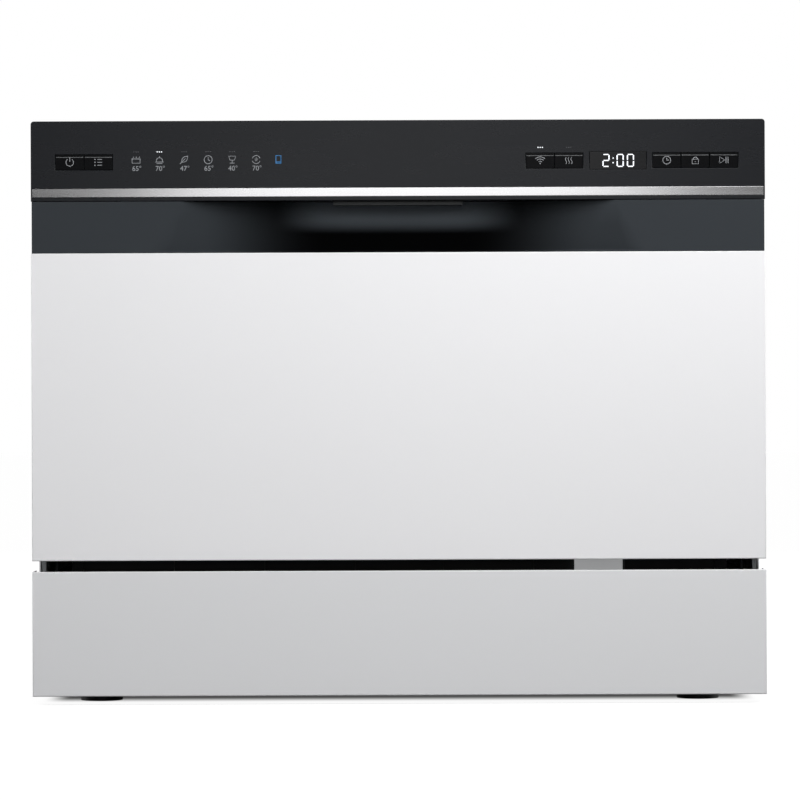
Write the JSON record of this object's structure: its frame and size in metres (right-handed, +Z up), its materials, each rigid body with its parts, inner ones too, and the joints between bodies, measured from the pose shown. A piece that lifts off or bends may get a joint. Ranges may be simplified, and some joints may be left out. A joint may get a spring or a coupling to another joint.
{
  "type": "countertop dishwasher",
  "caption": "Compact white dishwasher for a counter, with a drop-down door, dark control strip, sliding wire rack, spray arm and water fittings at the back.",
  "frame": {"origin": "centre of the footprint, on the counter under the feet", "axes": "+X to the right seen from the front, +Y from the door to the back, +Z up"},
  "size_m": [0.55, 0.5, 0.438],
  "materials": {
    "white_steel": "smooth white baked paint",
    "black_gloss": "polished black plastic",
    "display_glass": "dark glossy window",
    "chrome": "bright plated strip",
    "black_plastic": "fine-grained black plastic",
    "pale_plastic": "pale grey moulded plastic",
    "zinc_steel": "zinc-plated steel",
    "stainless": "satin stainless steel",
    "rubber": "soft black rubber",
    "grey_plastic": "mid grey plastic",
    "dark_plastic": "dark grey plastic",
    "rack_coating": "grey nylon coating on wire",
    "blue_plastic": "blue moulded plastic",
    "board_green": "green circuit board"
  },
  "bodies": {
    "cabinet": {"base_tray": "black_plastic", "fittings_plate": "black_plastic", "base_front_cover": "pale_plastic", "plinth_panel": "white_steel", "levelling_feet": "black_plastic", "side_panel_left": "white_steel", "side_panel_right": "white_steel", "top_cover": "white_steel", "rear_panel": "zinc_steel", "cabinet_screws": "zinc_steel", "tub_wrapper": "stainless", "tub_back": "stainless", "tub_floor": "stainless", "tub_seal": "rubber", "sump": "dark_plastic", "main_filter": "stainless", "heating_element": "zinc_steel", "wash_pump": "dark_plastic", "drain_pump": "dark_plastic", "softener_tank": "pale_plastic", "inlet_valve": "pale_plastic", "drain_outlet": "dark_plastic", "cable_gland": "black_plastic", "air_break": "pale_plastic", "inner_hoses": "rubber", "hinge_brackets": "zinc_steel", "door_springs": "zinc_steel"},
    "door": {"door_skin": "white_steel", "door_liner": "stainless", "control_fascia": "black_gloss", "trim_strip": "chrome", "handle_band": "black_plastic", "display_window": "display_glass", "control_board": "board_green", "hinge_arms": "zinc_steel", "dispenser": "grey_plastic", "door_seal": "rubber"},
    "rack": {"rack_wirework": "rack_coating", "plate_tines": "rack_coating", "rack_rails": "pale_plastic"},
    "lever": {"handle_lever": "black_plastic"},
    "hook": {"latch_hook": "zinc_steel"},
    "lid": {"detergent_lid": "grey_plastic"},
    "rinse_cap": {"rinse_aid_cap": "blue_plastic"},
    "basket": {"cutlery_basket": "grey_plastic"},
    "shelf": {"cup_shelf": "grey_plastic"},
    "left_roller": {"roller_left": "pale_plastic"},
    "right_roller": {"roller_right": "pale_plastic"},
    "arm": {"spray_arm": "grey_plastic"},
    "filter_cup": {"fine_filter": "grey_plastic"},
    "salt_lid": {"salt_cap": "grey_plastic"},
    "float": {"float_cap": "pale_plastic"},
    "wash_impeller": {"wash_rotor": "pale_plastic"},
    "drain_impeller": {"drain_rotor": "pale_plastic"},
    "power_key_body": {"power_key": "black_gloss"},
    "program_key_body": {"program_key": "black_gloss"},
    "remote_key_body": {"remote_key": "black_gloss"},
    "dry_key_body": {"dry_key": "black_gloss"},
    "delay_key_body": {"delay_key": "black_gloss"},
    "lock_key_body": {"lock_key": "black_gloss"},
    "start_key_body": {"start_key": "black_gloss"}
  },
  "joints": [
    {"name": "door_hinge", "type": "hinge", "parent": "cabinet", "child": "door", "pos_m": [0, -0.24, 0.116], "axis": [1, 0, 0], "range_deg": [0, 90], "stiffness_Nm_per_rad": 2.6, "deforming": ["door_springs"]},
    {"name": "rack_slide", "type": "slide", "parent": "cabinet", "child": "rack", "axis": [0, -1, 0], "range_m": [0, 0.173]},
    {"name": "left_roller_turn", "type": "hinge", "parent": "cabinet", "child": "left_roller", "pos_m": [-0.233, -0.178, 0.248], "axis": [1, 0, 0], "continuous": true},
    {"name": "right_roller_turn", "type": "hinge", "parent": "cabinet", "child": "right_roller", "pos_m": [0.233, -0.178, 0.248], "axis": [1, 0, 0], "continuous": true},
    {"name": "basket_lift", "type": "slide", "parent": "rack", "child": "basket", "axis": [0, 0, 1], "range_m": [0, 0.1]},
    {"name": "shelf_fold", "type": "hinge", "parent": "rack", "child": "shelf", "pos_m": [-0.2115, 0.006, 0.286], "axis": [0, -1, 0], "range_deg": [0, 85]},
    {"name": "handle_pull", "type": "hinge", "parent": "door", "child": "lever", "pos_m": [0, -0.2407, 0.3909], "axis": [-1, 0, 0], "range_deg": [0, 8], "stiffness_Nm_per_rad": 0.2},
    {"name": "hook_turn", "type": "hinge", "parent": "door", "child": "hook", "pos_m": [0, -0.222, 0.4245], "axis": [1, 0, 0], "range_deg": [0, 5]},
    {"name": "lid_turn", "type": "hinge", "parent": "door", "child": "lid", "pos_m": [0.01, -0.2078, 0.3135], "axis": [1, 0, 0], "range_deg": [0, 100]},
    {"name": "rinse_cap_turn", "type": "hinge", "parent": "door", "child": "rinse_cap", "pos_m": [-0.06, -0.2106, 0.2885], "axis": [0, 1, 0], "range_deg": [0, 90]},
    {"name": "spray_turn", "type": "hinge", "parent": "cabinet", "child": "arm", "pos_m": [0, 0.01, 0.152], "axis": [0, 0, 1], "continuous": true},
    {"name": "filter_turn", "type": "hinge", "parent": "cabinet", "child": "filter_cup", "pos_m": [0.028, -0.009, 0.12], "axis": [0, 0, 1], "range_deg": [0, 90]},
    {"name": "salt_cap_turn", "type": "hinge", "parent": "cabinet", "child": "salt_lid", "pos_m": [-0.165, -0.13, 0.13], "axis": [0, 0, 1], "range_deg": [0, 360]},
    {"name": "float_lift", "type": "slide", "parent": "cabinet", "child": "float", "axis": [0, 0, 1], "range_m": [0, 0.006]},
    {"name": "wash_pump_turn", "type": "hinge", "parent": "cabinet", "child": "wash_impeller", "pos_m": [0.11, 0.01, 0.072], "axis": [1, 0, 0], "continuous": true},
    {"name": "drain_pump_turn", "type": "hinge", "parent": "cabinet", "child": "drain_impeller", "pos_m": [-0.11, 0.01, 0.046], "axis": [1, 0, 0], "continuous": true},
    {"name": "power_key_press", "type": "slide", "parent": "door", "child": "power_key_body", "axis": [0, 1, 0], "range_m": [0, 0.001], "stiffness_N_per_m": 800},
    {"name": "program_key_press", "type": "slide", "parent": "door", "child": "program_key_body", "axis": [0, 1, 0], "range_m": [0, 0.001], "stiffness_N_per_m": 800},
    {"name": "remote_key_press", "type": "slide", "parent": "door", "child": "remote_key_body", "axis": [0, 1, 0], "range_m": [0, 0.001], "stiffness_N_per_m": 800},
    {"name": "dry_key_press", "type": "slide", "parent": "door", "child": "dry_key_body", "axis": [0, 1, 0], "range_m": [0, 0.001], "stiffness_N_per_m": 800},
    {"name": "delay_key_press", "type": "slide", "parent": "door", "child": "delay_key_body", "axis": [0, 1, 0], "range_m": [0, 0.001], "stiffness_N_per_m": 800},
    {"name": "lock_key_press", "type": "slide", "parent": "door", "child": "lock_key_body", "axis": [0, 1, 0], "range_m": [0, 0.001], "stiffness_N_per_m": 800},
    {"name": "start_key_press", "type": "slide", "parent": "door", "child": "start_key_body", "axis": [0, 1, 0], "range_m": [0, 0.001], "stiffness_N_per_m": 800}
  ],
  "couplings": [
    {"joint": "rack_slide", "follows": "door_hinge", "m_per_rad": 0.11},
    {"joint": "left_roller_turn", "follows": "door_hinge", "ratio": 9.1667},
    {"joint": "right_roller_turn", "follows": "door_hinge", "ratio": 9.1667},
    {"joint": "hook_turn", "follows": "handle_pull", "ratio": 0.42}
  ]
}
